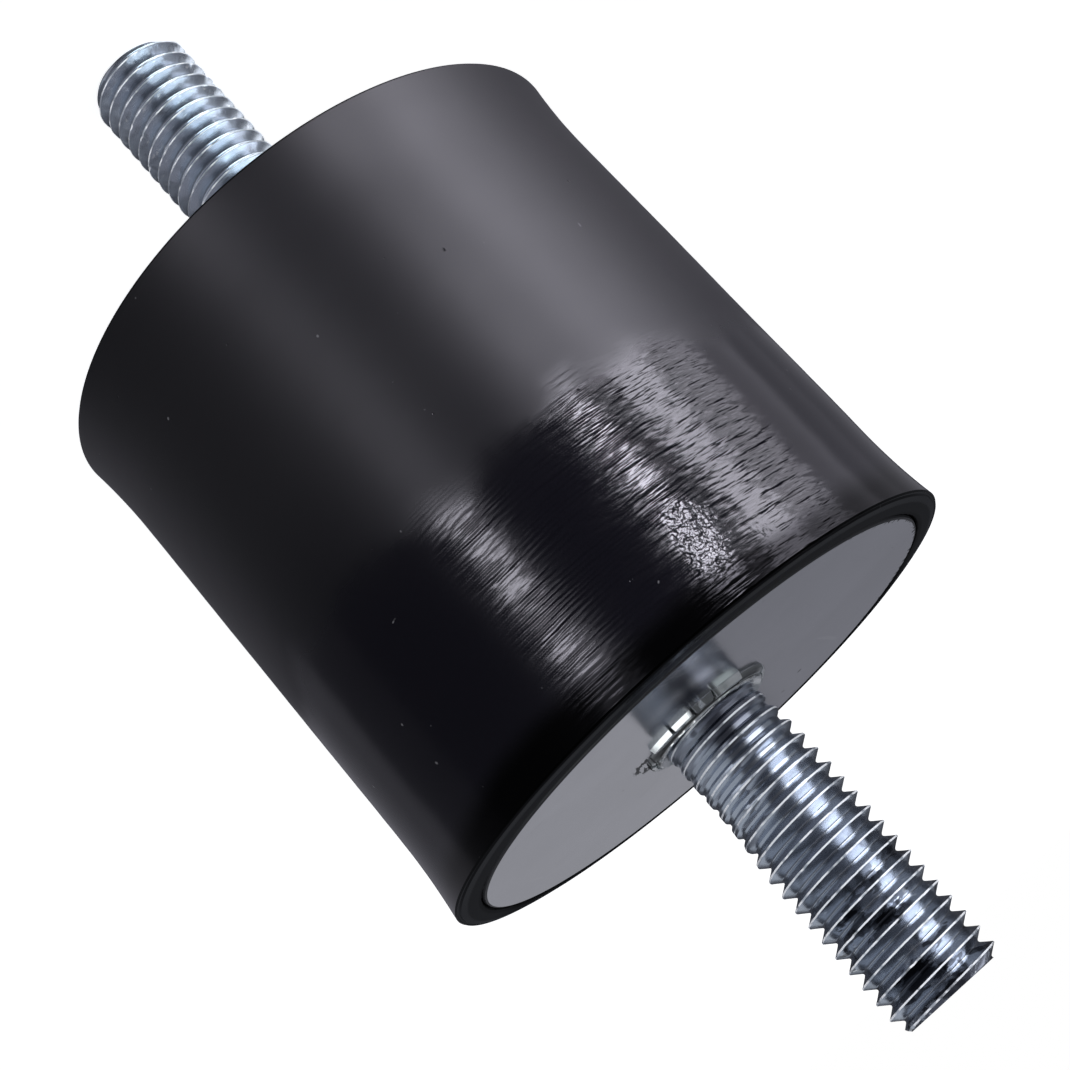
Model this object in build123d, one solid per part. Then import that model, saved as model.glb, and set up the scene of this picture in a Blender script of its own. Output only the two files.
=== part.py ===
from build123d import *

import math
import os

# Cylindrical rubber buffer with a threaded stud at each end. Millimetres, axis on Z.
# The origin is the centre of the lower plate's outer face, where the buffer is bolted down.

# Rubber body
buffer_h = 50.0  # from one mounting face to the other
rubber_d = 50.0  # across the rims
waist_depth = 0.5  # the middle of the side wall stands this far inside the rims
flare_h = 7.5  # height over which the wall runs out to each rim
rim_drop = 0.35  # the rim's outer edge lies this far behind the plate's face
rim_edge = 0.15  # bevel of that edge
lip_w = 2.4  # rubber lip round each plate

# End plates
plate_t = 3.0
plate_edge = 0.3  # chamfer round the outer face, which leaves a fine groove inside the lip

# Studs
stud_d = 9.85  # over the thread's crests, for a 10 mm stud
stud_len = 28.0  # from the plate's outer face to the tip
tip_chamfer = 1.0
run_out_len = 2.6  # the thread fades out over this length at the plate
run_out_depth = 0.3  # the stud is this much slimmer there, on the radius
head_t = 2.5  # flat head behind the plate
head_ledge = 2.4  # the head reaches this far past the serrations
head_edge = 0.5  # bevel round the back of the head

# Serrated shank, pressed into the plate's hole
serration_count = 24
serration_rise = 0.1  # the teeth stand this far above the thread's crests
serration_depth = 0.35
shoulder_depth = 0.4  # the shank ends this far below the plate's outer face, under the staked metal

# Staked collar: plate metal driven in over the shank's shoulder by a segmented punch
stake_count = 12
stake_w = 0.9  # from the stud to the collar's outer edge
high_stake_h = 0.65  # high and low stakes take turns round the stud
low_stake_h = 0.5
stake_gap = 0.22  # notch between neighbours
stake_lean = 12.0  # draft of the stakes' outer walls, in degrees

# Worked out from the sizes above
rim_r = rubber_d / 2
waist_r = rim_r - waist_depth
plate_r = rim_r - lip_w
stud_r = stud_d / 2
neck_r = stud_r - run_out_depth
serration_tip_r = stud_r + serration_rise
serration_root_r = serration_tip_r - serration_depth
head_r = serration_tip_r + head_ledge
collar_r = neck_r + stake_w


def rubber_body():
    """One moulding: a waisted drum with a lip round each plate and a seat for each stud's head."""
    lower_rim = (rim_r, rim_drop)
    lower_waist = (waist_r, rim_drop + flare_h)
    upper_waist = (waist_r, buffer_h - rim_drop - flare_h)
    upper_rim = (rim_r, buffer_h - rim_drop)
    with BuildPart() as moulding:
        with BuildSketch(Plane.XZ):
            with BuildLine():
                Polyline((plate_r, buffer_h), (0, buffer_h), (0, 0), (plate_r, 0), lower_rim)
                TangentArc(lower_waist, lower_rim, tangent=(0, -1))
                Line(lower_waist, upper_waist)
                TangentArc(upper_waist, upper_rim, tangent=(0, 1))
                Line(upper_rim, (plate_r, buffer_h))
            make_face()
        revolve(axis=Axis.Z)
        outer_edges = moulding.edges().filter_by(GeomType.CIRCLE)
        chamfer(outer_edges.filter_by(lambda edge: abs(edge.radius - rim_r) < rim_edge), length=rim_edge)
        for face_z, inwards in ((0, 1), (buffer_h, -1)):
            with BuildSketch(Plane.XY.offset(face_z)):
                Circle(plate_r)
            extrude(amount=inwards * plate_t, mode=Mode.SUBTRACT)
            with BuildSketch(Plane.XY.offset(face_z + inwards * plate_t)):
                Circle(head_r)
            extrude(amount=inwards * head_t, mode=Mode.SUBTRACT)
            # The rubber fills the bevel of the stud's head, so its seat has the same bevel.
            seat_floor_z = face_z + inwards * (plate_t + head_t)
            seat_edge = moulding.edges().filter_by(GeomType.CIRCLE).filter_by_position(
                Axis.Z, seat_floor_z - head_edge / 4, seat_floor_z + head_edge / 4)
            chamfer(seat_edge, length=head_edge)
    return moulding.part


def serrated_profile():
    """Cross-section of the shank: straight pointed teeth all round."""
    half_pitch = math.pi / serration_count
    corners = []
    for index in range(2 * serration_count):
        radius = serration_tip_r if index % 2 == 0 else serration_root_r
        corners.append((radius * math.cos(index * half_pitch), radius * math.sin(index * half_pitch)))
    with BuildSketch() as profile:
        with BuildLine():
            Polyline(*corners, close=True)
        make_face()
    return profile.sketch


def staked_collar():
    """The ring of stakes round the stud, standing on the plate's outer face at Z = 0."""
    half_angle = math.pi / stake_count
    inner_x = neck_r * math.cos(half_angle)
    half_inner_w = neck_r * math.tan(half_angle) - stake_gap / 2
    half_outer_w = collar_r * math.tan(half_angle) - stake_gap / 2
    with BuildPart() as collar:
        for index in range(stake_count):
            height = high_stake_h if index % 2 == 0 else low_stake_h
            lean_in = height * math.tan(math.radians(stake_lean))
            turned = Plane.XY.rotated((0, 0, index * 360 / stake_count))
            with BuildSketch(turned):
                with BuildLine():
                    Polyline((inner_x, -half_inner_w), (collar_r, -half_outer_w), (collar_r, half_outer_w),
                             (inner_x, half_inner_w), close=True)
                make_face()
            extrude(amount=height)
            # The outer wall leans in towards the stud, as the punch leaves it.
            with BuildSketch(Plane(turned.origin, x_dir=turned.x_dir, z_dir=-turned.y_dir)):
                with BuildLine():
                    Polyline((collar_r, 0), (collar_r - lean_in, height), (collar_r, height), close=True)
                make_face()
            extrude(amount=collar_r, both=True, mode=Mode.SUBTRACT)
    return collar.part


def end_plate():
    """A blanked steel disc with its outer face at Z = 0, closed over the shank of its stud."""
    with BuildPart() as plate:
        with BuildSketch():
            Circle(plate_r)
        extrude(amount=-plate_t)
        chamfer(plate.edges().sort_by(Axis.Z)[-1], length=plate_edge)
        add(staked_collar())
        with BuildSketch(Plane.XY.offset(-shoulder_depth)):
            add(serrated_profile())
        extrude(amount=shoulder_depth - plate_t, mode=Mode.SUBTRACT)
        with BuildSketch(Plane.XY.offset(-shoulder_depth)):
            Circle(neck_r)
        extrude(amount=shoulder_depth + high_stake_h, mode=Mode.SUBTRACT)
    return plate.part


def stud():
    """A cold-headed stud, pushed through its plate from inside until the head seats."""
    with BuildPart() as bolt:
        with BuildSketch(Plane.XZ):
            with BuildLine():
                Polyline((0, -shoulder_depth), (neck_r, -shoulder_depth),
                         (neck_r, run_out_len - run_out_depth), (stud_r, run_out_len),
                         (stud_r, stud_len - tip_chamfer), (stud_r - tip_chamfer, stud_len), (0, stud_len),
                         close=True)
            make_face()
        revolve(axis=Axis.Z)
        with BuildSketch(Plane.XY.offset(-shoulder_depth)):
            add(serrated_profile())
        extrude(amount=shoulder_depth - plate_t)
        with BuildSketch(Plane.XY.offset(-plate_t)):
            Circle(head_r)
        extrude(amount=-head_t)
        chamfer(bolt.edges().sort_by(Axis.Z)[0], length=head_edge)
    return bolt.part


upper_end = Pos(0, 0, buffer_h)
lower_end = Rot(X=180)

nodes = {
    "rubber_body": rubber_body(),
    "upper_plate": upper_end * end_plate(),
    "lower_plate": lower_end * end_plate(),
    "upper_stud": upper_end * stud(),
    "lower_stud": lower_end * stud(),
}

os.makedirs("parts", exist_ok=True)
for name, shape in nodes.items():
    shape.label = name
    export_step(shape, f"parts/{name}.step")
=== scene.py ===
import math

import bpy
from mathutils import Matrix, Vector, noise


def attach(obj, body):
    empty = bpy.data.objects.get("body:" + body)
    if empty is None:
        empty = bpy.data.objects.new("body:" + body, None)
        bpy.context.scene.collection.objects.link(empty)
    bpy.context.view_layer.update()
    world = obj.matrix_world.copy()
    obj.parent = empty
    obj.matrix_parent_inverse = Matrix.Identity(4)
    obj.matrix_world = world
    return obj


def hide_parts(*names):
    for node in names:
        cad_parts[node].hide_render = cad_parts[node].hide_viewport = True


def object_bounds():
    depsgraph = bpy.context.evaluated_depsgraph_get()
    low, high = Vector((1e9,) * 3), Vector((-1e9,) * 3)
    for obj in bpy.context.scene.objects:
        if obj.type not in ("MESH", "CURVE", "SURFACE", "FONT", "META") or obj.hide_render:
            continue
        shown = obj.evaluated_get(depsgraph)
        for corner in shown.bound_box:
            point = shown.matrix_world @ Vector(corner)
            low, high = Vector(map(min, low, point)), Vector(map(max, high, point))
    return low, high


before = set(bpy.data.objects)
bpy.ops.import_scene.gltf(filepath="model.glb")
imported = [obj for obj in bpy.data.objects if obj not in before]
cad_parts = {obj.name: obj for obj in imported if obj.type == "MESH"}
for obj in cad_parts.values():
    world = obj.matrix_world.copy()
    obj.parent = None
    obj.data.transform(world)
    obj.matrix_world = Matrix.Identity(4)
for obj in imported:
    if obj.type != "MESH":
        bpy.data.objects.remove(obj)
cad_low, cad_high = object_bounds()
MM = 0.001

# Threaded studs, one through each end plate. Each is cold-headed from steel wire, with a right-hand
# M10 thread rolled on it, and zinc-plated bright. The thread fades out near the plate, and the outer
# turns are knocked and dirty from lying loose in a box.
lower_face_z = 0.0
upper_face_z = 50 * MM
pitch = 1.5 * MM
crest_r = 4.91 * MM
stud_len = 28 * MM
tip_r = 4.15 * MM
tip_chamfer_h = 0.75 * MM
shoulder_depth = 0.4 * MM
shank_r = 4.98 * MM
plate_t = 3 * MM
head_r = 7.4 * MM
head_t = 2.5 * MM
head_edge = 0.5 * MM
thread_turns = 21
thread_steps = 96
weld = 0.002 * MM
# Radius and height in millimetres, from the root through one flank, the narrow crest and the other flank
# to the next root. The first root lies inside the plate, where the thread is cut off again.
thread_profile = [(4.05, 0), (4.06, 0.06), (4.1, 0.12), (4.17, 0.18), (4.5, 0.43), (4.82, 0.655),
                  (4.885, 0.69), (4.91, 0.72), (4.91, 0.8), (4.885, 0.83), (4.82, 0.865), (4.5, 1.09),
                  (4.17, 1.32), (4.1, 1.38), (4.06, 1.44), (4.05, 1.5)]
first_root_z = -2.81
flank_r = 4.45
crest_shoulder_r = 4.87
crest_top_r = 4.9
# Height over the plate, radius that the crests reach there, and radius that the roots go down to, all in
# millimetres. The wire stood a little askew in the rolling dies, so one side of the thread is full sooner.
full_side = math.radians(167)
full_side_growth = [(0, 4.44, 4.3), (2, 4.52, 4.25), (4, 4.72, 4.18), (6, 4.84, 4.12), (7.5, 4.91, 4.05),
                    (30, 4.91, 4.05)]
bare_side_growth = [(0, 4.42, 4.3), (3, 4.42, 4.24), (8, 4.44, 4.18), (10, 4.62, 4.12), (11.5, 4.8, 4.08),
                    (13, 4.91, 4.05), (30, 4.91, 4.05)]
# Knocks press the loose outer turns in and along, scuffs graze all of them. Each shows where its noise is
# over a level, and sizes are in millimetres.
loose_from = 8
loose_rise = 8
knocks_per_mm = 2.3
knock_level = 0.42
knock_depth = 0.6
knock_push = 0.14
scuffs_per_mm = 0.9
scuff_flatness = 0.4
scuff_level = 0.3
scuff_depth = 0.05


def trace_outline(name, points):
    """Draws an open outline in the XZ plane, in millimetres, by extruding one vertex from point to point."""
    bpy.ops.object.select_all(action="DESELECT")
    bpy.ops.mesh.primitive_plane_add(size=MM, location=(points[0][0] * MM, 0, points[0][1] * MM))
    piece = bpy.context.object
    piece.name = piece.data.name = name
    bpy.ops.object.mode_set(mode="EDIT")
    bpy.ops.mesh.select_mode(type="VERT")
    bpy.ops.mesh.select_all(action="SELECT")
    bpy.ops.mesh.merge(type="CENTER")
    for (r_from, z_from), (r_to, z_to) in zip(points, points[1:]):
        step = ((r_to - r_from) * MM, 0, (z_to - z_from) * MM)
        bpy.ops.mesh.extrude_region_move(TRANSFORM_OT_translate={"value": step})
    bpy.ops.object.mode_set(mode="OBJECT")
    bpy.ops.object.transform_apply(location=True, rotation=True, scale=True)
    return piece


def close_skin():
    """Merges the doubles of the piece at hand, turns its faces outwards and leaves nothing selected."""
    bpy.ops.object.mode_set(mode="EDIT")
    bpy.ops.mesh.select_mode(type="VERT")
    bpy.ops.mesh.select_all(action="SELECT")
    bpy.ops.mesh.remove_doubles(threshold=weld)
    bpy.ops.mesh.normals_make_consistent(inside=False)
    bpy.ops.mesh.select_all(action="DESELECT")
    bpy.ops.object.mode_set(mode="OBJECT")


def pick_faces(piece, wanted):
    """Selects the faces whose centre and normal pass the test, and stays in edit mode."""
    bpy.ops.object.mode_set(mode="OBJECT")
    for part in (piece.data.vertices, piece.data.edges, piece.data.polygons):
        part.foreach_set("select", [False] * len(part))
    for face in piece.data.polygons:
        face.select = wanted(face.center, face.normal)
    bpy.ops.object.mode_set(mode="EDIT")
    bpy.ops.mesh.select_mode(type="FACE")


def cut_across(height, keep_below):
    """Cuts the whole mesh at a height and closes the cut."""
    bpy.ops.mesh.select_all(action="SELECT")
    bpy.ops.mesh.bisect(plane_co=(0, 0, height), plane_no=(0, 0, 1), use_fill=True, threshold=0.0001 * MM,
                        clear_outer=keep_below, clear_inner=not keep_below)


def scale_radius(vertex, factor):
    """Moves a vertex towards the piece's axis or away from it."""
    vertex.co.x *= factor
    vertex.co.y *= factor


def between(table, height):
    """Reads a table of rows (height, value, value) at a height, in straight lines from row to row."""
    for low, high in zip(table, table[1:]):
        if height <= high[0]:
            share = max(0, (height - low[0]) / (high[0] - low[0]))
            return [a + (b - a) * share for a, b in zip(low[1:], high[1:])]
    return table[-1][1:]


def make_stud(name, seed):
    """One stud standing on a plate whose outer face is at height 0."""
    stud = trace_outline(name, [(r, z + first_root_z) for r, z in thread_profile])
    screw = stud.modifiers.new("Thread", "SCREW")
    screw.axis = "Z"
    screw.angle = math.tau
    screw.screw_offset = pitch
    screw.iterations = thread_turns
    screw.steps = screw.render_steps = thread_steps
    bpy.ops.object.modifier_apply(modifier=screw.name)
    crest_line = stud.data.attributes.new("crest", "FLOAT", "POINT")
    for vertex in stud.data.vertices:
        place = vertex.co
        height = place.z / MM
        radius = math.hypot(place.x, place.y) / MM
        on_crest = 1.0 if radius > crest_top_r else 0.6 if radius > crest_shoulder_r else 0.0
        crest_line.data[vertex.index].value = on_crest
        side = 0.5 + 0.5 * math.cos(math.atan2(place.y, place.x) - full_side)
        full, bare = between(full_side_growth, height), between(bare_side_growth, height)
        crest, root = [b + (f - b) * side for f, b in zip(full, bare)]
        grown = min(max(radius, root), crest)
        scuff_place = Vector((place.x, place.y, place.z * scuff_flatness)) / MM * scuffs_per_mm
        scuff = noise.noise(scuff_place + Vector((seed, 0, 0)))
        knock = noise.noise(place / MM * knocks_per_mm + Vector((0, seed, 0)))
        if radius > flank_r:
            loose = min(1, max(0, (height - loose_from) / loose_rise))
            hit = max(0, knock - knock_level) * loose
            grown -= hit * knock_depth + max(0, scuff - scuff_level) * scuff_depth
            vertex.co.z += hit * knock_push * MM
        to_tip = max(0, stud_len / MM - height)
        tip_cone = tip_r / MM + to_tip * (crest_r - tip_r) / tip_chamfer_h
        scale_radius(vertex, min(grown, tip_cone) / radius)
    bpy.ops.object.mode_set(mode="EDIT")
    bpy.ops.mesh.select_all(action="SELECT")
    bpy.ops.mesh.remove_doubles(threshold=weld)
    cut_across(stud_len, True)
    cut_across(-shoulder_depth, False)
    # The shank and the flat head go on below the thread, hidden in the plate and the rubber.
    pick_faces(stud, lambda centre, normal: abs(centre.z + shoulder_depth) < weld / 2)
    for depth, radius in ((0, shank_r), (shoulder_depth - plate_t, shank_r), (0, head_r),
                          (head_edge - head_t, head_r), (-head_edge, head_r - head_edge)):
        bpy.ops.mesh.extrude_region_move(TRANSFORM_OT_translate={"value": (0, 0, depth)})
        bpy.ops.object.mode_set(mode="OBJECT")
        factor = radius / max(math.hypot(v.co.x, v.co.y) for v in stud.data.vertices if v.select)
        bpy.ops.object.mode_set(mode="EDIT")
        bpy.ops.transform.resize(value=(factor, factor, 1), center_override=(0, 0, 0))
    close_skin()
    bpy.ops.object.shade_smooth_by_angle(angle=math.radians(32))
    return stud


class Shade:
    """One output in a material's nodes, so that masks and patterns are written as sums."""

    def __init__(self, tree, socket=None):
        self.tree, self.socket = tree, socket

    def node(self, kind, settings=None, inputs=None, output=0):
        """Adds a node: its settings first, then the values or links of its sockets."""
        made = self.tree.nodes.new(kind)
        for key, value in (settings or {}).items():
            setattr(made, key, value)
        for key, value in (inputs or {}).items():
            if isinstance(value, Shade):
                self.tree.links.new(value.socket, made.inputs[key])
            else:
                made.inputs[key].default_value = value
        return Shade(self.tree, made.outputs[output])

    def calc(self, operation, *values):
        return self.node("ShaderNodeMath", {"operation": operation}, dict(enumerate(values)))

    def __add__(self, other):
        return self.calc("ADD", self, other)

    def __sub__(self, other):
        return self.calc("SUBTRACT", self, other)

    def __rsub__(self, other):
        return self.calc("SUBTRACT", other, self)

    def __mul__(self, other):
        return self.calc("MULTIPLY", self, other)

    def __truediv__(self, other):
        return self.calc("DIVIDE", self, other)

    def __abs__(self):
        return self.calc("ABSOLUTE", self)

    __radd__, __rmul__ = __add__, __mul__

    def largest(self, first, *others):
        """The largest of some values, point by point."""
        for other in others:
            first = self.calc("MAXIMUM", first, other)
        return first

    def length(self, x, y):
        return self.calc("SQRT", x * x + y * y)

    def step(self, low, high):
        """Rises smoothly from 0 to 1 while this value goes from low to high."""
        settings = {"interpolation_type": "SMOOTHSTEP"}
        return self.node("ShaderNodeMapRange", settings, {0: self, 1: low, 2: high})

    def blend(self, low_colour, high_colour):
        """A colour that goes from one to the other with this value."""
        return self.node("ShaderNodeMix", {"data_type": "RGBA"}, {0: self, 6: low_colour, 7: high_colour}, 2)

    def vector(self, x, y, z):
        return self.node("ShaderNodeCombineXYZ", None, {0: x, 1: y, 2: z})

    def axes(self, vector):
        """The three numbers of a vector."""
        x = self.node("ShaderNodeSeparateXYZ", None, {0: vector})
        outputs = x.socket.node.outputs
        return x, Shade(self.tree, outputs[1]), Shade(self.tree, outputs[2])

    def place(self, shift=(0, 0, 0), turn=(0, 0, 0), stretch=(1, 1, 1)):
        """The piece's own coordinates in metres, moved, turned and stretched."""
        spot = self.node("ShaderNodeTexCoord", output="Object")
        return self.node("ShaderNodeMapping", None, {"Vector": spot, "Location": shift, "Rotation": turn,
                                                     "Scale": stretch})

    def speckle(self, where, scale, detail=2.0, roughness=0.5):
        """Soft spots of random strength round 0.5, more of them to the metre with a larger scale."""
        return self.node("ShaderNodeTexNoise", None, {"Vector": where, "Scale": scale, "Detail": detail,
                                                      "Roughness": roughness})

    def towards(self, x, y, azimuth, outwards=1):
        """How far a place lies to one side of the axis. Outwards is -1 at the end that is turned over."""
        a = math.radians(azimuth)
        return x * math.cos(a) + y * (math.sin(a) * outwards)

    def bump(self, height, distance):
        return self.node("ShaderNodeBump", None, {"Height": height, "Distance": distance})


def new_finish(name):
    """A material, its shader node, and a Shade to draw its patterns with."""
    finish = bpy.data.materials.new(name)
    finish.use_nodes = True
    tree = finish.node_tree
    return finish, tree.nodes["Principled BSDF"], Shade(tree)


def feed(shader, **values):
    """Links or sets sockets of the shader, with underscores for the spaces in their names."""
    for name, value in values.items():
        socket = shader.inputs[name.replace("_", " ")]
        if isinstance(value, Shade):
            value.tree.links.new(value.socket, socket)
        else:
            socket.default_value = value


bright_zinc = (0.52, 0.56, 0.64, 1)
pale_bright_zinc = (0.62, 0.66, 0.74, 1)
rolled_line = (0.72, 0.76, 0.83, 1)
# Dark colour for dirt on the tip and for painted shade in the first turns by the plate.
dirt_and_painted_shade = (0.07, 0.07, 0.1, 1)
painted_dark_reflection = (0.07, 0.075, 0.09, 1)
fresh_scuff = (0.9, 0.92, 0.95, 1)
painted_crest_highlight_white = (0.95, 0.96, 1.0, 1)
# The side and reach of the painted shade in the first turns by the plate.
painted_shade_side = -118
painted_shade_r = 4.2 * MM


def zinc_thread_finish(name, face_z, outwards, wear_and_painted_marks):
    """Bright zinc on a rolled thread: crests painted white as highlights, lines along the turns, knocks and
    painted dark reflections near the tip.
    """
    finish, shader, draw = new_finish(name)
    x, y, z = draw.axes(draw.place())
    height = (z - face_z) * outwards
    # The crest lines are painted white as highlights, and broken in places.
    crest = draw.node("ShaderNodeAttribute", {"attribute_name": "crest"}, output="Fac").step(0.3, 0.8)
    broken = draw.speckle(draw.place(), 900).step(0.47 - wear_and_painted_marks * 0.11, 0.6 - wear_and_painted_marks * 0.1)
    crest_painted_highlight = crest * (0.25 + broken * 0.75)
    lines = draw.speckle(draw.place(stretch=(0.15, 0.15, 3)), 1500, 1).step(0.35, 0.65)
    cloud = draw.speckle(draw.place(), 260).step(0.3, 0.72)
    knocked = height.step(12 * MM, 20 * MM)
    dents = draw.speckle(draw.place(shift=(3, 1, 2)), 620)
    # Rubbed patches on the outer turns are smoother, and their dark colour is a painted dark reflection.
    rubbed_with_painted_reflection = draw.speckle(draw.place(shift=(2, 5, 2), stretch=(0.7, 0.7, 1.5)), 420, 3, 0.6)
    rubbed_with_painted_reflection = rubbed_with_painted_reflection.step(0.53, 0.57) * knocked * wear_and_painted_marks
    scuffs = draw.speckle(draw.place(shift=(7, 5, 2), stretch=(0.6, 0.6, 1.4)), 1500, 2, 0.6)
    scuffs = scuffs.step(0.64, 0.7) * knocked
    # Painted shade darkens the first turns by the plate on one side, and dirt darkens the chamfered tip.
    facing = draw.towards(x, y, painted_shade_side, outwards) / painted_shade_r
    painted_plate_shade = (1 - height.step(2.2 * MM, 5.5 * MM)) * facing.step(0.75, 0.98)
    grime = draw.speckle(draw.place(), 900, 3, 0.6).step(0.36, 0.5)
    grimy_tip = height.step(27.2 * MM, 27.35 * MM) * grime * wear_and_painted_marks
    steel = cloud.blend(bright_zinc, pale_bright_zinc)
    steel = (lines * 0.15).blend(steel, rolled_line)
    steel = draw.largest(painted_plate_shade * 0.75, grimy_tip * 0.85).blend(steel, dirt_and_painted_shade)
    steel = (rubbed_with_painted_reflection * 0.85).blend(steel, painted_dark_reflection)
    steel = scuffs.blend(steel, fresh_scuff)
    steel = crest_painted_highlight.blend(steel, painted_crest_highlight_white)
    relief = lines * 0.05 + cloud * 0.25 + dents * knocked * 6.0
    feed(shader, Base_Color=steel, Metallic=1.0 - crest_painted_highlight * 0.75,
         Roughness=0.24 + crest * 0.15 - rubbed_with_painted_reflection * 0.08, Normal=draw.bump(relief, 0.01 * MM))
    return finish


def turn_into_place(piece, matrix):
    """Moves the mesh itself, so that the object stays at the origin."""
    piece.data.transform(matrix)
    piece.data.update()


def finish_stud(stud, node, material):
    stud.data.materials.append(material)
    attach(stud, "root")
    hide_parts(node)


upper_place = Matrix.Translation((0, 0, upper_face_z))
lower_place = Matrix.Rotation(math.pi, 4, "X")

upper_stud = make_stud("upper_threaded_stud", 1.7)
turn_into_place(upper_stud, upper_place)
upper_zinc = zinc_thread_finish("bright_zinc_upper", upper_face_z, 1, 1)
finish_stud(upper_stud, "upper_stud", upper_zinc)

lower_stud = make_stud("lower_threaded_stud", 6.4)
turn_into_place(lower_stud, lower_place)
lower_zinc = zinc_thread_finish("bright_zinc_lower", lower_face_z, -1, 0.1)
finish_stud(lower_stud, "lower_stud", lower_zinc)


# End plates, one pressed over each stud. Each is blanked from 3 mm steel sheet, zinc-plated to a soft
# satin, and closed round its stud by twelve strokes of a segmented punch, which leave a broken ring
# of small upset blocks with notches between them.
plate_r = 22.5 * MM
plate_edge = 0.24 * MM
hole_r = 5.0 * MM
mid_face_r = 14 * MM
plate_steps = 192
# The raised ring of metal next to the thread, from the flat face in to the hole, in millimetres.
bead_outline = [(5.45, 0), (5.43, 0.46), (5.36, 0.6), (5.2, 0.64), (5.02, 0.48), (4.78, 0.3), (4.62, 0.06)]
# The flat strip round it that the punch raises, and the radius of the stakes' inner edges.
strip_inner_r = 5.45
strip_outer_r = 6.1
stake_inner_r = 5.6
# Each stake: first and last step of the spin, height of its inner edge, radius and height of its outer
# edge, and radius of its foot. The punch struck askew, so on one side the stakes reach out.
stakes = [(22, 34, 0.42, 6.9, 0.6, 7.05), (35, 43, 0.38, 6.9, 0.46, 7.45), (44, 52, 0.34, 7.3, 0.48, 7.5),
          (53, 63, 0.32, 7.4, 0.5, 7.6), (66, 82, 0.38, 6.1, 0.2, 6.2), (84, 100, 0.48, 6.0, 0.36, 6.1),
          (102, 118, 0.44, 6.1, 0.3, 6.2), (120, 136, 0.5, 6.0, 0.34, 6.1), (138, 154, 0.42, 6.1, 0.3, 6.2),
          (156, 172, 0.5, 6.0, 0.36, 6.1), (174, 190, 0.44, 6.0, 0.3, 6.1), (2, 20, 0.5, 6.1, 0.36, 6.2)]
# The punch leaves the bead torn and the stakes' tops rough, by these parts of a millimetre.
wobbles_per_mm = 1.1
jitters_per_mm = 3.7
bead_wobble = 0.08
bead_jitter = 0.05
bead_sway = 0.06
stake_roughness = 0.02
stake_bevel = 0.04 * MM


def spin_step(place):
    """The step of the plate's spin that a place belongs to."""
    return (math.degrees(math.atan2(place.y, place.x)) + 180) / 360 * plate_steps


def raise_stake(plate, first, last, inner_z, outer_r, outer_z, foot_r):
    """Raises one stake out of the flat strip, between two steps of the spin."""

    def in_stake(centre, normal):
        on_strip = strip_inner_r * MM < centre.xy.length < strip_outer_r * MM
        return on_strip and normal.z > 0.99 and first < spin_step(centre) < last

    pick_faces(plate, in_stake)
    bpy.ops.mesh.extrude_region_move(TRANSFORM_OT_translate={"value": (0, 0, 0.01 * MM)})
    bpy.ops.object.mode_set(mode="OBJECT")
    for vertex in plate.data.vertices:
        radius = vertex.co.xy.length / MM
        on_foot = abs(radius - strip_outer_r) <= 0.01
        if not first - 0.01 < spin_step(vertex.co) < last + 0.01 or not (vertex.select or on_foot):
            continue
        if not vertex.select:
            new_radius = foot_r
        elif radius > (strip_inner_r + strip_outer_r) / 2:
            new_radius, vertex.co.z = outer_r, outer_z * MM
        else:
            new_radius, vertex.co.z = stake_inner_r, inner_z * MM
        scale_radius(vertex, new_radius / radius)


def make_plate(name, seed):
    """One plate with its outer face at height 0."""
    t, edge, hole, rim = plate_t / MM, plate_edge / MM, hole_r / MM, plate_r / MM
    bead_r, shoulder = bead_outline[-1][0], -shoulder_depth / MM
    plate = trace_outline(name, [(hole, -t), (rim, -t), (rim, -edge), (rim - edge * 0.35, -edge * 0.3),
                                 (rim - edge, 0), (rim - edge - 0.1, 0), (mid_face_r / MM, 0),
                                 (strip_outer_r, 0), *bead_outline, (bead_r, shoulder), (hole, shoulder),
                                 (hole, -t)])
    bpy.ops.object.mode_set(mode="EDIT")
    bpy.ops.mesh.select_all(action="SELECT")
    bpy.ops.mesh.spin(steps=plate_steps, angle=math.tau, center=(0, 0, 0), axis=(0, 0, 1))
    close_skin()
    for stake in stakes:
        raise_stake(plate, *stake)
    for vertex in plate.data.vertices:
        radius = vertex.co.xy.length
        wobble = noise.noise(vertex.co / MM * wobbles_per_mm + Vector((seed, 0, 0)))
        jitter = noise.noise(vertex.co / MM * jitters_per_mm + Vector((0, seed, 0)))
        if radius < strip_inner_r * 0.999 * MM and vertex.co.z > 0:
            vertex.co.z += (bead_wobble * wobble + bead_jitter * jitter) * MM
            scale_radius(vertex, 1 + bead_sway * (wobble + jitter) * MM / radius)
        elif vertex.co.z > 0.01 * MM:
            vertex.co.z += min(stake_roughness * MM, vertex.co.z * 0.3) * jitter
    close_skin()
    bpy.ops.object.mode_set(mode="EDIT")
    bpy.ops.mesh.select_mode(type="EDGE")
    bpy.ops.mesh.edges_select_sharp(sharpness=math.radians(50))
    bpy.ops.object.mode_set(mode="OBJECT")
    for edge_line in plate.data.edges:
        ends = [plate.data.vertices[i].co for i in edge_line.vertices]
        if not all(end.z > 0.15 * MM and end.xy.length > strip_inner_r * 1.01 * MM for end in ends):
            edge_line.select = False
    bpy.ops.object.mode_set(mode="EDIT")
    bpy.ops.mesh.bevel(offset=stake_bevel, segments=1, affect="EDGES")
    close_skin()
    bpy.ops.object.shade_smooth_by_angle(angle=math.radians(20))
    return plate


satin_zinc = (0.46, 0.47, 0.505, 1)
pale_satin_zinc = (0.53, 0.54, 0.58, 1)
wiped_zinc = (0.6, 0.61, 0.64, 1)
scratched_zinc = (0.75, 0.76, 0.78, 1)
struck_zinc = (0.75, 0.78, 0.79, 1)
speck_grey = (0.09, 0.09, 0.1, 1)
# Black for the marks, and for painted shade in the trench beside the stud.
marks_and_painted_shade_black = (0.012, 0.012, 0.015, 1)
reaching_side = -102.6


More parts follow.
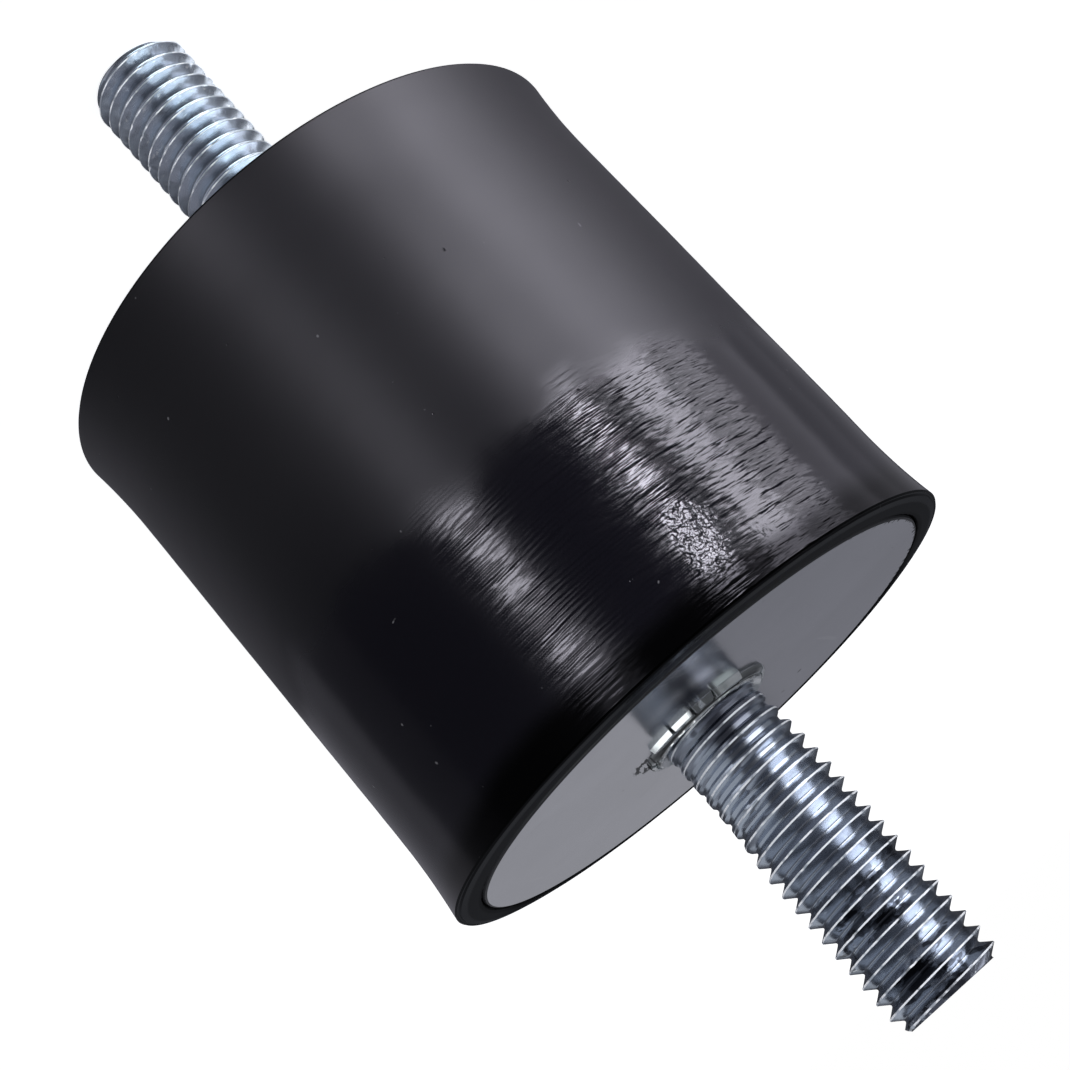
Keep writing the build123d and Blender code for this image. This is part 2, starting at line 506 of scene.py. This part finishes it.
def zinc_plate_finish(name, face_z, outwards):
    """Satin zinc on rolled sheet: clouded, with radial wipes, scratches, specks, and smears by the stud."""
    finish, shader, draw = new_finish(name)
    x, y, z = draw.axes(draw.place())
    height = (z - face_z) * outwards
    radius = draw.length(x, y) + 0.01 * MM
    wipes = draw.speckle(draw.vector(x / radius * 4.0, y / radius * 4.0, radius * 40), 2.4, 4, 0.6)
    wipes = wipes.step(0.35, 0.7)
    cloud = draw.speckle(draw.place(), 90, 4, 0.55).step(0.3, 0.7)
    grain = draw.speckle(draw.place(stretch=(1, 0.12, 1), turn=(0, 0, 0.6)), 5200, 3, 0.6)
    scratch_a = draw.speckle(draw.place(stretch=(0.06, 1, 1), turn=(0, 0, 0.9)), 900)
    scratch_b = draw.speckle(draw.place(stretch=(1, 0.05, 1), turn=(0, 0, 2.1), shift=(2, 5, 1)), 760)
    scratches = draw.largest(scratch_a.step(0.68, 0.72), scratch_b.step(0.69, 0.73))
    specks = draw.speckle(draw.place(shift=(1, 1, 0)), 620, 1, 0.4).step(0.77, 0.8)
    on_face = (1 - abs(height).step(0.005 * MM, 0.01 * MM)) * radius.step(5.5 * MM, 5.6 * MM)
    struck = height.step(0.012 * MM, 0.02 * MM)
    hammered = draw.speckle(draw.place(), 1500, 2, 0.6) * struck
    # Plate coordinates towards the side where the stakes reach out, and across it.
    toward = draw.towards(x, y, reaching_side, outwards)
    across = draw.towards(x, y, reaching_side + 90, outwards)

    def oval(middle_across, middle_toward, half_width, half_length, solid, gone):
        """A soft oval patch beside the stud, with its place and half sizes in millimetres."""
        patch_x = (across - middle_across * MM) / (half_width * MM)
        patch_y = (toward - middle_toward * MM) / (half_length * MM)
        return 1 - draw.length(patch_x, patch_y).step(solid, gone)

    # Black marks: a scrawl of residue, dirt on the stakes, shade in the trench between bead and stakes,
    # crumbs of flash rubber at one stretch of the edge, and the thin line of flash all round it.
    scrawl = draw.speckle(draw.vector(across, toward * 0.2, 0.0), 1500)
    residue = (1 - abs(scrawl - 0.5).step(0.035, 0.07)) * oval(6.1, 2.0, 1.15, 2.6, 0.75, 1.1)
    dirt = draw.speckle(draw.vector(across, toward * 0.3, 0.0), 1500).step(0.4, 0.5)
    dirt = dirt * oval(-0.6, 6.9, 1.7, 1.6, 0.7, 1.0) * struck
    # Painted shade in the trench, on the side where the stakes reach out.
    painted_trench_shade = (1 - radius.step(5.95 * MM, 6.6 * MM)) * toward.step(1.0 * MM, 3.0 * MM)
    painted_trench_shade = painted_trench_shade * height.step(0.02 * MM, 0.05 * MM) * (1 - height.step(0.44 * MM, 0.52 * MM))
    crumbs = draw.speckle(draw.place(shift=(3, 1, 0)), 1500) + radius.step(21.7 * MM, 22.3 * MM) * 0.22
    crumbs = crumbs.step(0.74, 0.76) * (0 - across).step(14 * MM, 18 * MM)
    flash = radius.step(22.24 * MM, 22.27 * MM)
    black_marks = draw.largest(residue, dirt * 0.8, painted_trench_shade * 0.93, crumbs, flash)
    steel = cloud.blend(satin_zinc, pale_satin_zinc)
    steel = (wipes * 0.12).blend(steel, wiped_zinc)
    steel = (scratches * 0.3 * on_face).blend(steel, scratched_zinc)
    steel = (specks * on_face).blend(steel, speck_grey)
    steel = struck.blend(steel, struck_zinc)
    steel = black_marks.blend(steel, marks_and_painted_shade_black)
    feed(shader, Base_Color=steel, Metallic=1.0 - black_marks,
         Roughness=0.12 + cloud * 0.03 + wipes * 0.02 + grain * 0.02 + struck * 0.08 + black_marks * 0.3,
         Normal=draw.bump(grain * 0.4 + cloud * 1.2 - scratches * 1.5 + hammered * 4.0, 0.003 * MM))
    return finish


end_plates = []
for plate_name, node_name, place, face_z, outwards, seed in (
        ("upper_end_plate", "upper_plate", upper_place, upper_face_z, 1, 0),
        ("lower_end_plate", "lower_plate", lower_place, lower_face_z, -1, 5)):
    end_plate = make_plate(plate_name, seed)
    turn_into_place(end_plate, place)
    end_plate.data.materials.append(zinc_plate_finish("satin_zinc_" + node_name, face_z, outwards))
    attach(end_plate, "root")
    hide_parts(node_name)
    end_plates.append(end_plate)


# Rubber body, one black moulding that is cured round the plates and bonded to them. It is slightly
# waisted, with a thin lip round each plate and a seat for each stud's head, and has the fine rings that
# its turned mould leaves, a crumpled spot, pits and dust.
rim_r = 25 * MM
waist_depth = 0.5 * MM
flare_h = 7.5 * MM
rim_drop = 0.35 * MM
rim_edge = 0.14 * MM
wall_rings = 110
body_steps = 288
# The wall sinks in slow and quick waves and the lips are torn, by these parts of a millimetre.
slow_waves_per_mm = 0.09
slow_wave_depth = 0.05
quick_waves_per_mm = 0.32
quick_wave_depth = 0.008
quick_wave_flatness = 2.5
lip_tear = 0.35
# The outline's own measures, in millimetres.
full, drop, bevel = upper_face_z / MM, rim_drop / MM, rim_edge / MM
lip_r = plate_r / MM + 0.13
crease_r = rim_r / MM - 0.36
low_wall, high_wall = drop + bevel, full - drop - bevel


def wall_radius(height):
    """The side wall's radius at a height: straight in the middle, arcs out to the rims."""
    waist, flare = waist_depth / MM, flare_h / MM
    depth = min(height, full - height) - drop
    if depth >= flare:
        return rim_r / MM - waist
    share = 1 - depth / flare
    return rim_r / MM - waist + waist * share * share


# The seat of the head, the gap beside the plate, the rounded lip, and the crease next to the rim's edge.
lower_end = [(0, 5.5), (6.9, 5.5), (7.4, 5.0), (7.4, 3), (lip_r, 3), (lip_r, 0.28), (lip_r + 0.12, 0.1),
             (lip_r + 0.32, 0.03), (lip_r + 0.7, 0.04), (lip_r + 1.4, 0.13), (crease_r - 0.1, 0.25),
             (crease_r, 0.4), (crease_r + 0.13, 0.43), (crease_r + 0.22, 0.34), (rim_r / MM - bevel, drop)]
wall_heights = [low_wall + (high_wall - low_wall) * i / wall_rings for i in range(wall_rings + 1)]
wall = [(wall_radius(height), height) for height in wall_heights]
upper_end = [(r, full - z) for r, z in reversed(lower_end)]
rubber = trace_outline("moulded_rubber", lower_end + wall + upper_end)
bpy.ops.object.mode_set(mode="EDIT")
bpy.ops.mesh.select_all(action="SELECT")
bpy.ops.mesh.spin(steps=body_steps, angle=math.tau, center=(0, 0, 0), axis=(0, 0, 1))
close_skin()
for vertex in rubber.data.vertices:
    place = vertex.co / MM
    radius, height = place.xy.length, place.z
    if radius > 24 and low_wall < height < high_wall:
        slow = noise.noise(place * slow_waves_per_mm)
        quick_place = Vector((place.x, place.y, place.z * quick_wave_flatness)) * quick_waves_per_mm
        sink = slow_wave_depth * slow + quick_wave_depth * noise.noise(quick_place)
        scale_radius(vertex, 1 - sink * min(1, height - low_wall, high_wall - height) / radius)
    elif abs(radius - lip_r) < 0.3 and (height < 0.2 or height > full - 0.2):
        ragged = max(0, noise.noise(place * 1.1) - 0.12) + 0.5 * max(0, noise.noise(place * 3.0) - 0.2)
        scale_radius(vertex, 1 - lip_tear * ragged / radius)
bpy.ops.object.shade_smooth_by_angle(angle=math.radians(35))

satin_black = (0.009, 0.0085, 0.0105, 1)
glossy_black = (0.003, 0.0027, 0.005, 1)
dust_grey = (0.2, 0.2, 0.21, 1)
painted_shade_black = (0.002, 0.002, 0.002, 1)
ringed_side = -107.5
grained_side = -136
calm_side = -85
ring_pitch = 0.43 * MM
rubber_finish, shader, draw = new_finish("satin_black_rubber")
x, y, z = draw.axes(draw.place())
radius = draw.length(x, y)
on_wall = radius.step(23.9 * MM, 24.2 * MM)
drift = draw.speckle(draw.place(stretch=(1, 1, 0.5)), 55, 3, 0.6) - 0.5
tremble = draw.speckle(draw.place(), 150, 3, 0.6)
shake = tremble - 0.5
# The mould's rings show on one side of the wall and strokes beside them, both only towards the upper end,
# where the rubber is glossy.
to_ringed = draw.towards(x, y, ringed_side) / radius + drift * 0.08
to_grained = draw.towards(x, y, grained_side) / radius + drift * 0.04
to_calm = draw.towards(x, y, calm_side) / radius
ringed = to_ringed.step(0.925, 0.955)
grained = to_grained.step(0.967, 0.988) * (1 - ringed)
calm = 1 - to_calm.step(0.92, 0.97) * 0.5
glossy_end = (z + drift * 10 * MM + shake * 5 * MM).step(28 * MM, 32.5 * MM) * to_ringed.step(-0.5, -0.2)
dark_end = (z + drift * 8 * MM).step(18 * MM, 36 * MM)
wander = draw.speckle(draw.place(stretch=(0.14, 0.14, 1)), 420)
rings = draw.calc("SINE", z * (math.tau / ring_pitch) + wander * 20)
ring_patches = draw.speckle(draw.place(shift=(2, 0, 0), stretch=(0.5, 0.5, 1.2)), 330, 3, 0.6)
ring_patches = ring_patches.step(0.34, 0.56)
strokes = draw.speckle(draw.place(shift=(4, 1, 0), stretch=(0.16, 0.16, 1)), 2100) - 0.5
leather = draw.speckle(draw.place(shift=(1, 2, 3)), 1700, 2, 0.45) - 0.5
pits = draw.speckle(draw.place(shift=(0, 0, 4)), 1100).step(0.76, 0.86)
dust = draw.speckle(draw.place(shift=(5, 0, 0)), 1300, 1, 0.4).step(0.8, 0.83)


def crumpled_spot(azimuth, height, radius, squeeze):
    """A soft patch on the wall, at an azimuth and a height, 1 / squeeze times as tall as it is wide."""
    a = math.radians(azimuth)
    middle = (rim_r * math.cos(a), rim_r * math.sin(a), height * squeeze)
    here = draw.place(stretch=(1, 1, squeeze))
    away = draw.node("ShaderNodeVectorMath", {"operation": "DISTANCE"}, {0: here, 1: middle}, "Value")
    return 1 - (away + shake * 4 * MM).step(radius * 0.45, radius)


crumpled = draw.largest(crumpled_spot(-121.5, 44.6 * MM, 2.1 * MM, 0.5),
                        crumpled_spot(-131, 46.6 * MM, 1.6 * MM, 0.8))
ripples = (rings * (0.1 + ring_patches * 0.55) + strokes * calm * 5.5) * ringed + strokes * grained * 11.0
ripples = ripples * (1 - crumpled) + leather * crumpled * 6.0
relief = ripples * glossy_end * on_wall + tremble * 0.4 - pits * 4.0 * on_wall
# Painted shade fills the rims' edges and the gap round each plate, black with next to no shine there, and
# painted shade dulls the last millimetres of the wall before the upper rim.
end_depth = upper_face_z / 2 - abs(z - upper_face_z / 2)
end_face = 1 - end_depth.step(0.5 * MM, 0.56 * MM)
rim_line = radius.step(24.55 * MM, 24.7 * MM) * end_face
gap_line = 1 - radius.step(22.95 * MM, 23.25 * MM)
painted_rim_shade = (z + drift * 4 * MM).step(45.8 * MM, 48.2 * MM) * (1 - end_face)
painted_rubber_shade = draw.largest(rim_line, gap_line, end_face * 0.5, painted_rim_shade * 0.8)
black = dark_end.blend(satin_black, glossy_black)
black = (dust * 0.5 * on_wall).blend(black, dust_grey)
black = painted_rubber_shade.blend(black, painted_shade_black)
feed(shader, Base_Color=black, Metallic=painted_rubber_shade, IOR=1.45,
     Roughness=0.42 - glossy_end * 0.25 + shake * 0.04 + (1 - on_wall) * 0.3,
     Normal=draw.bump(relief, 0.015 * MM))
rubber.data.materials.append(rubber_finish)
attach(rubber, "root")
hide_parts("rubber_body")


# Floor: a plain studio table, level with the tip of the lower stud. It is lit from within, so that it is as
# white as the background, with a painted pale grey shade round the buffer.
floor_z = cad_low.z
floor_r = 6
bpy.ops.object.select_all(action="DESELECT")
bpy.ops.mesh.primitive_circle_add(vertices=96, radius=floor_r, fill_type="NGON", location=(0, 0, floor_z))
floor = bpy.context.object
floor.name = floor.data.name = "studio_floor"
bpy.ops.object.transform_apply(location=True, rotation=True, scale=True)
floor_finish, shader, draw = new_finish("white_table")
x, y, z = draw.axes(draw.place())
clear_of_painted_shade = draw.length(x, y).step(0.15, 0.5)
feed(shader, Base_Color=(0.8, 0.8, 0.8, 1), Roughness=0.9, Specular_IOR_Level=0.1,
     Emission_Color=clear_of_painted_shade.blend((0.88, 0.88, 0.88, 1), (1, 1, 1, 1)), Emission_Strength=1.0)
floor.data.materials.append(floor_finish)
floor.visible_glossy = floor.visible_shadow = False


# Studio light: soft boxes round the buffer at long range. Rubber throws back a twentieth of what zinc
# does, so rubber, studs and plates have boxes of their own: strong low ones for the rubber.
light_distance = 1.5


def lit_together(name, pieces):
    """A collection of the pieces that a group of boxes falls on."""
    group = bpy.data.collections.new(name)
    for piece in pieces:
        group.objects.link(piece)
    return group


def soft_box(name, falls_on, azimuth, elevation, width, height, radiance, colour, mirrored=True):
    """A rectangular light that faces the buffer's middle. Place and size as seen from there, in degrees.
    One that isn't mirrored lights matt spots only, such as the threads' crests that are painted white as
    highlights."""
    a, e = math.radians(azimuth), math.radians(elevation)
    middle = Vector((0, 0, upper_face_z / 2))
    way = Vector((math.cos(a) * math.cos(e), math.sin(a) * math.cos(e), math.sin(e)))
    bpy.ops.object.select_all(action="DESELECT")
    bpy.ops.object.light_add(type="AREA", location=middle + way * light_distance)
    light = bpy.context.object
    light.name = light.data.name = name
    light.rotation_euler = way.to_track_quat("Z", "Y").to_euler()
    light.data.shape = "RECTANGLE"
    light.data.size = 2 * light_distance * math.tan(math.radians(width / 2))
    light.data.size_y = 2 * light_distance * math.tan(math.radians(height / 2))
    light.data.energy = radiance * math.pi * light.data.size * light.data.size_y
    light.data.color = colour
    light.visible_camera = False
    light.visible_glossy = mirrored
    light.light_linking.receiver_collection = falls_on


on_rubber = lit_together("lit_by_rubber_boxes", [rubber])
on_studs = lit_together("lit_by_stud_boxes", [upper_stud, lower_stud])
on_upper_stud = lit_together("lit_by_upper_stud_boxes", [upper_stud])
on_lower_stud = lit_together("lit_by_lower_stud_boxes", [lower_stud])
on_plates = lit_together("lit_by_plate_boxes", end_plates)

lavender = (0.9, 0.88, 1.0)
soft_box("strip_left", on_rubber, -168, -18, 15, 28, 10.5, lavender)
soft_box("strip_left_edge", on_rubber, -186, -18, 23, 28, 3.0, lavender)
soft_box("strip_main", on_rubber, -143.8, -16.2, 8.0, 8.2, 33, lavender)
soft_box("strip_main_end", on_rubber, -138.5, -19.4, 8, 4, 22, lavender)
soft_box("strip_front", on_rubber, -83, -14, 12, 6.5, 16.5, lavender)
soft_box("strip_front_end", on_rubber, -84, -21.5, 12, 7, 1.6, lavender)
soft_box("low_left", on_rubber, -176, -33, 40, 12, 1.8, lavender)
soft_box("low_front", on_rubber, -86, -32, 16, 14, 1.5, lavender)
soft_box("wide_left", on_rubber, 157, -20, 28, 26, 0.68, lavender)
soft_box("wide_left_end", on_rubber, 142, -20, 34, 28, 0.14, lavender)
soft_box("wide_behind_left", on_rubber, 122, -20, 50, 30, 0.18, lavender)
soft_box("wide_right", on_rubber, 36, -20, 50, 36, 0.17, lavender)
soft_box("wide_right_end", on_rubber, 2, -20, 36, 32, 0.05, lavender)

cool = (0.86, 0.93, 1.0)
soft_box("stud_strip", on_upper_stud, -157, -13, 46, 48, 2.8, (0.93, 0.96, 1))
soft_box("stud_top", on_studs, 104, 49, 18, 28, 2.2, (0.9, 0.95, 1))
soft_box("stud_crests", on_studs, -100, 40, 110, 16, 4.2, (0.97, 0.98, 1), mirrored=False)
soft_box("stud_low_fill", on_studs, -30, -3, 100, 26, 0.42, cool)
soft_box("stud_high_fill", on_studs, -35, 62, 60, 30, 0.22, cool)
soft_box("stud_back_fill", on_studs, 56, 38, 30, 36, 0.32, cool)
soft_box("stud_right_fill", on_studs, 165, 20, 50, 60, 0.2, cool)

ice = (0.84, 0.97, 1)
frost = (0.93, 0.97, 1)
pearl = (0.95, 0.95, 1)
soft_box("far_stud_strip", on_lower_stud, -155, -25, 58, 28, 3.4, ice)
soft_box("far_stud_side", on_lower_stud, 142, -4, 84, 40, 1.4, frost)
soft_box("far_stud_fill", on_lower_stud, -64, -29, 112, 30, 0.36, pearl)

haze = (0.94, 0.94, 1)
soft_box("behind_near", on_plates, 64, 14, 28, 18, 0.33, haze)
soft_box("behind_far", on_plates, 92, 14, 26, 18, 0.19, (0.9, 0.9, 1))
soft_box("before_plates", on_plates, -103, 16, 76, 14, 0.2, haze)
soft_box("left_of_plates", on_plates, 168, 16, 76, 22, 0.2, haze)
soft_box("right_of_plates", on_plates, -12, 16, 76, 22, 0.2, haze)
soft_box("stake_front", on_plates, -60, 33, 66, 22, 1.5, (0.97, 1, 0.99))
soft_box("stake_left", on_plates, -152, 33, 40, 22, 0.4, (0.9, 1, 0.93))
soft_box("under_left", on_plates, 152, -66, 70, 34, 2.8, ice)
soft_box("under_side", on_plates, 122, -41, 50, 34, 2.0, frost)
soft_box("under_right", on_plates, 5, -62, 90, 64, 0.42, pearl)

# The room: dark grey below and paler overhead for what it lights, and pure white for the camera.
world = bpy.data.worlds.new("studio")
bpy.context.scene.world = world
world.use_nodes = True
surround = Shade(world.node_tree)
way_up = surround.axes(surround.node("ShaderNodeTexCoord", output="Generated"))[2]
ambient = way_up.step(0.12, 0.7).blend((0.05, 0.052, 0.06, 1), (0.2, 0.21, 0.235, 1))
seen = surround.node("ShaderNodeLightPath", output="Is Camera Ray")
feed(world.node_tree.nodes["Background"], Color=seen.blend(ambient, (1, 1, 1, 1)), Strength=1.0)
bpy.context.scene.view_settings.view_transform = "Standard"


# Camera: a long lens, looking down the buffer's side from beyond its upper end, rolled so that
# the upper end points to the picture's lower right. The small shifts only frame the buffer.
eye = Vector((-34.768, -154.942, 77.583)) * MM
gaze = Vector((0.166196, 0.940145, -0.297499)).normalized()
downwards = Vector((0.703108, 0.09855, 0.704221)).normalized()
rightwards = downwards.cross(gaze).normalized()
upwards = rightwards.cross(gaze)
bpy.ops.object.select_all(action="DESELECT")
bpy.ops.object.camera_add(location=eye)
camera = bpy.context.object
camera.rotation_euler = Matrix((rightwards, upwards, -gaze)).transposed().to_euler()
camera.data.sensor_width = 36
camera.data.lens = 67.93
camera.data.shift_x = -0.0572
camera.data.shift_y = -0.0698
camera.data.clip_start, camera.data.clip_end = 0.01, 50
bpy.context.scene.camera = camera
